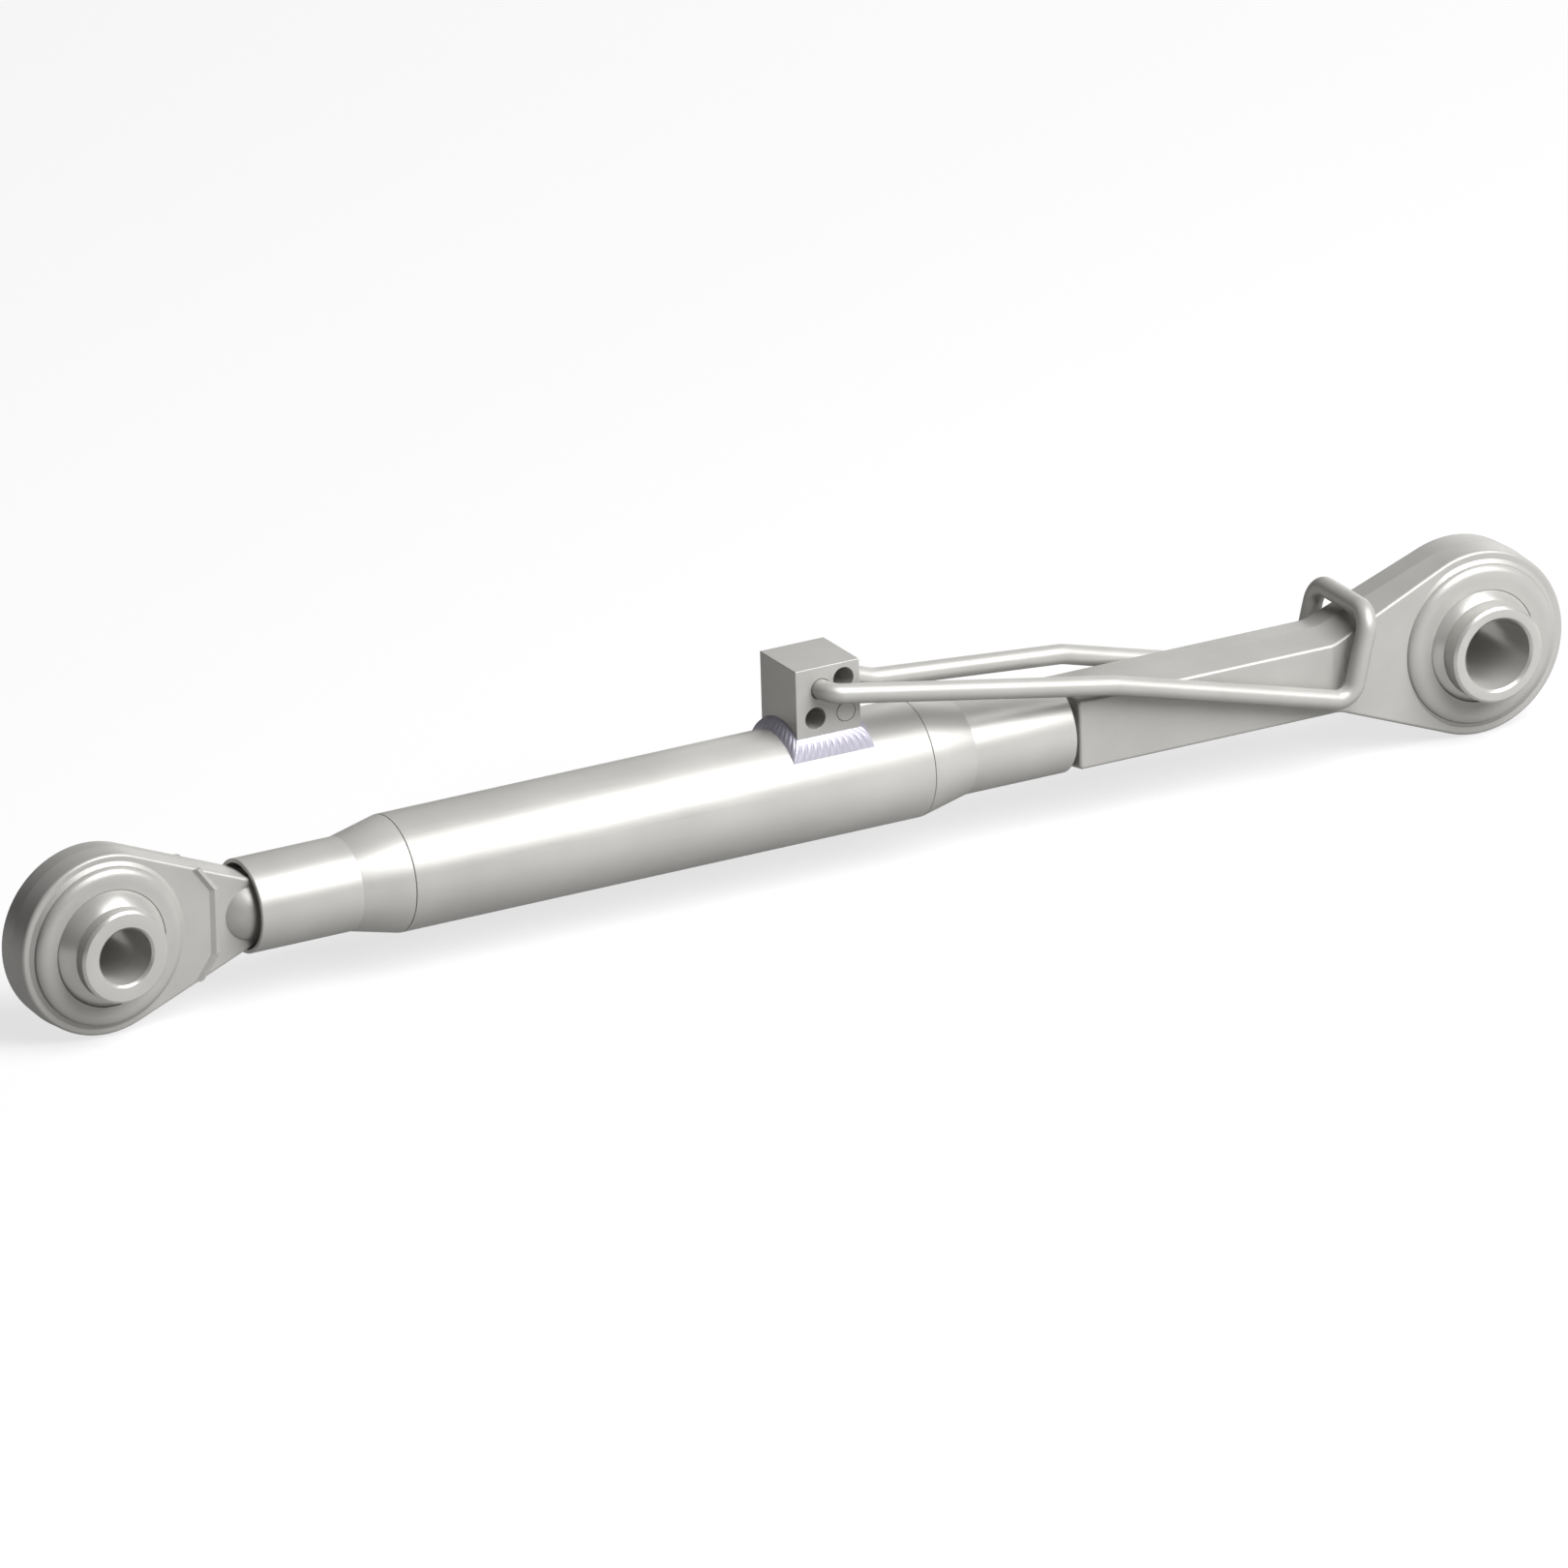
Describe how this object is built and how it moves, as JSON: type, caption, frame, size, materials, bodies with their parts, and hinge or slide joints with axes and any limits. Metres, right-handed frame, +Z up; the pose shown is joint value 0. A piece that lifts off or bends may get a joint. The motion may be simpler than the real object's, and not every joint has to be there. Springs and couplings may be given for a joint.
{
  "type": "tractor top link",
  "caption": "Turnbuckle link with a ball eye at each end, a threaded barrel that sets its length and a wire bail that locks it.",
  "frame": {"origin": "centre of the left ball, on the axis of its pin", "axes": "+X along the link from the left ball to the right ball, +Y along the pins' axes, +Z up through the bracket block"},
  "size_m": [0.7704, 0.063, 0.1013],
  "materials": {
    "forged_steel": "satin shot-blasted forging",
    "drawn_steel": "satin drawn tube",
    "machined_steel": "fine turned steel",
    "bail_wire": "satin drawn wire",
    "weld_metal": "rippled weld bead"
  },
  "bodies": {
    "barrel": {"barrel_tube": "drawn_steel", "left_end_bush": "drawn_steel", "right_end_bush": "drawn_steel", "bracket_block": "forged_steel", "bracket_weld": "weld_metal", "bail_stop_pin": "machined_steel"},
    "left_eye_body": {"left_eye": "forged_steel", "left_socket_ring": "forged_steel", "left_spindle": "machined_steel", "left_stop_collar": "machined_steel", "left_stop_pin": "machined_steel"},
    "right_eye_body": {"right_eye": "forged_steel", "right_socket_ring": "forged_steel", "right_spindle": "machined_steel", "right_stop_collar": "machined_steel", "right_stop_pin": "machined_steel"},
    "left_ball_body": {"left_ball": "machined_steel"},
    "right_ball_body": {"right_ball": "machined_steel"},
    "bail": {"locking_bail": "bail_wire"}
  },
  "joints": [
    {"name": "left_eye_travel", "type": "slide", "parent": "barrel", "child": "left_eye_body", "axis": [-1, 0, 0], "range_m": [0, 0.095]},
    {"name": "right_eye_travel", "type": "slide", "parent": "barrel", "child": "right_eye_body", "axis": [1, 0, 0], "range_m": [0, 0.095]},
    {"name": "bail_swing", "type": "hinge", "parent": "barrel", "child": "bail", "pos_m": [0.354, 0, 0.0478], "axis": [0, -1, 0], "range_deg": [0, 175]},
    {"name": "left_ball_tilt", "type": "hinge", "parent": "left_eye_body", "child": "left_ball_body", "pos_m": [0, 0, 0], "axis": [0, 0, 1], "range_deg": [-12, 12]},
    {"name": "right_ball_tilt", "type": "hinge", "parent": "right_eye_body", "child": "right_ball_body", "pos_m": [0.685, 0, 0], "axis": [0, 0, 1], "range_deg": [-8, 8]}
  ],
  "couplings": [
    {"joint": "right_eye_travel", "follows": "left_eye_travel", "ratio": 1}
  ]
}
